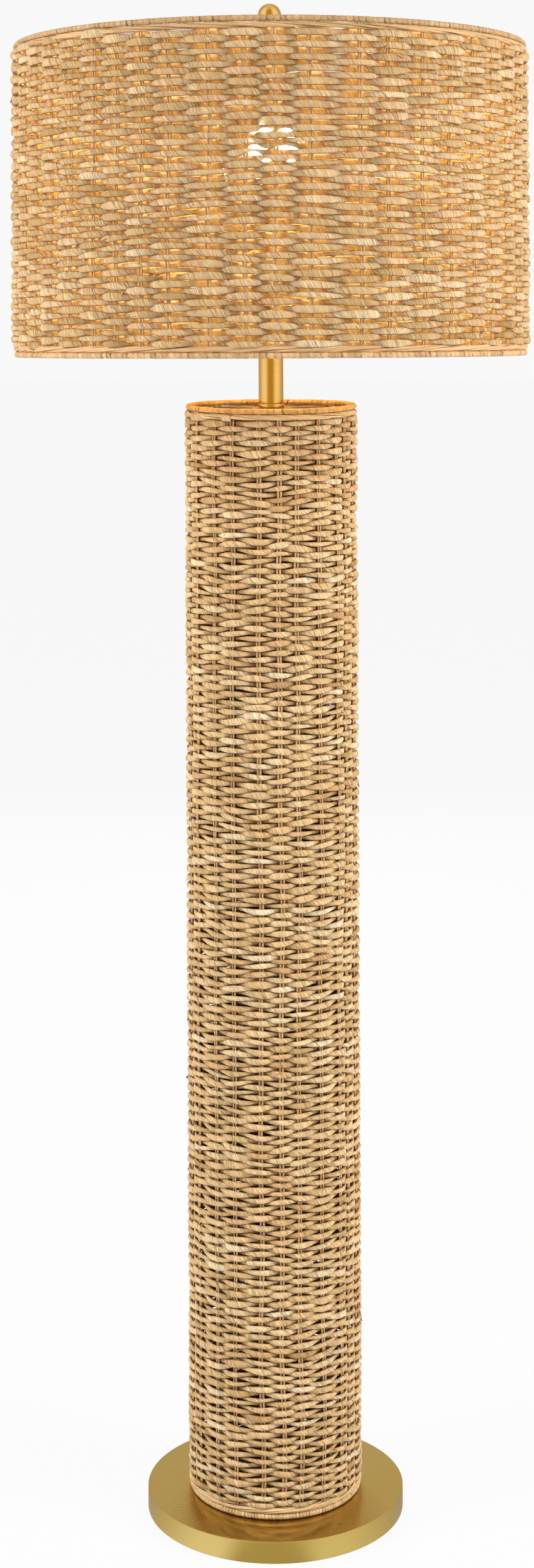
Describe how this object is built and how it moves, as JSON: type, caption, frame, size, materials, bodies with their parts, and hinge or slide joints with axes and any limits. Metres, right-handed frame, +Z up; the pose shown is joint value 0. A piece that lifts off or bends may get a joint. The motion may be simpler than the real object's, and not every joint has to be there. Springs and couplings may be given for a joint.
{
  "type": "floor lamp",
  "caption": "Floor lamp with a round brass-finished base, tall woven rattan column, short pole and a woven drum shade on a harp and finial.",
  "frame": {"origin": "on the floor, on the lamp's axis, at the centre of the base", "axes": "+Z up along the pole, -Y towards the front with the switch knob, +X to the right; the harp stands in the XZ plane and the cord outlet is at +Y"},
  "size_m": [0.53, 0.53, 1.535],
  "materials": {
    "brushed_brass": "satin",
    "socket_brass": "satin",
    "zinc_steel": "satin",
    "cast_weight": "matte",
    "felt_cloth": "matte",
    "woven_leaf": "matte",
    "wrapped_cane": "satin",
    "dark_plastic": "satin",
    "fibre_paper": "matte",
    "frosted_glass": "satin",
    "cap_metal": "satin"
  },
  "bodies": {
    "stand": {"base_felt_pad": "felt_cloth", "base_weight": "cast_weight", "base_cover": "brushed_brass", "cord_bushing": "dark_plastic", "pipe_washer": "zinc_steel", "pipe_locknut": "zinc_steel", "lamp_pipe": "zinc_steel", "column_bottom_rim": "wrapped_cane", "column_bottom_band": "wrapped_cane", "column_weave": "woven_leaf", "column_top_band": "wrapped_cane", "column_top_rim": "wrapped_cane", "column_bottom_crossplate": "zinc_steel", "column_top_crossplate": "zinc_steel", "column_frame_rod_1": "zinc_steel", "column_frame_rod_2": "zinc_steel", "column_frame_rod_3": "zinc_steel", "column_frame_rod_4": "zinc_steel", "pole_seat_ring": "brushed_brass", "pole_tube": "brushed_brass", "pole_cap": "brushed_brass", "harp_saddle": "zinc_steel", "harp": "zinc_steel", "socket_cap": "socket_brass", "socket_shell": "socket_brass", "socket_insulator": "fibre_paper", "switch_housing": "dark_plastic", "socket_screw_shell": "socket_brass", "centre_contact": "socket_brass"},
    "shade": {"shade_bottom_rim": "wrapped_cane", "shade_bottom_band": "wrapped_cane", "shade_weave": "woven_leaf", "shade_top_band": "wrapped_cane", "shade_top_rim": "wrapped_cane", "shade_spider": "zinc_steel", "harp_stud": "socket_brass"},
    "finial": {"finial": "brushed_brass"},
    "switch_key": {"switch_shaft": "zinc_steel", "switch_knob": "dark_plastic"},
    "bulb": {"bulb_cap": "cap_metal", "bulb_glass": "frosted_glass"},
    "sleeve_left": {"harp_sleeve_left": "socket_brass"},
    "sleeve_right": {"harp_sleeve_right": "socket_brass"}
  },
  "joints": [
    {"name": "shade_turn", "type": "hinge", "parent": "stand", "child": "shade", "pos_m": [0, 0, 1.4849], "axis": [0, 0, 1], "continuous": true},
    {"name": "finial_unscrew", "type": "slide", "parent": "shade", "child": "finial", "axis": [0, 0, 1], "range_m": [0, 0.02]},
    {"name": "switch_turn", "type": "hinge", "parent": "stand", "child": "switch_key", "pos_m": [0, -0.0192, 1.3088], "axis": [0, -1, 0], "continuous": true},
    {"name": "bulb_unscrew", "type": "slide", "parent": "stand", "child": "bulb", "axis": [0, 0, 1], "range_m": [0, 0.025]},
    {"name": "sleeve_left_lift", "type": "slide", "parent": "stand", "child": "sleeve_left", "axis": [0, 0, 1], "range_m": [0, 0.012]},
    {"name": "sleeve_right_lift", "type": "slide", "parent": "stand", "child": "sleeve_right", "axis": [0, 0, 1], "range_m": [0, 0.012]}
  ]
}
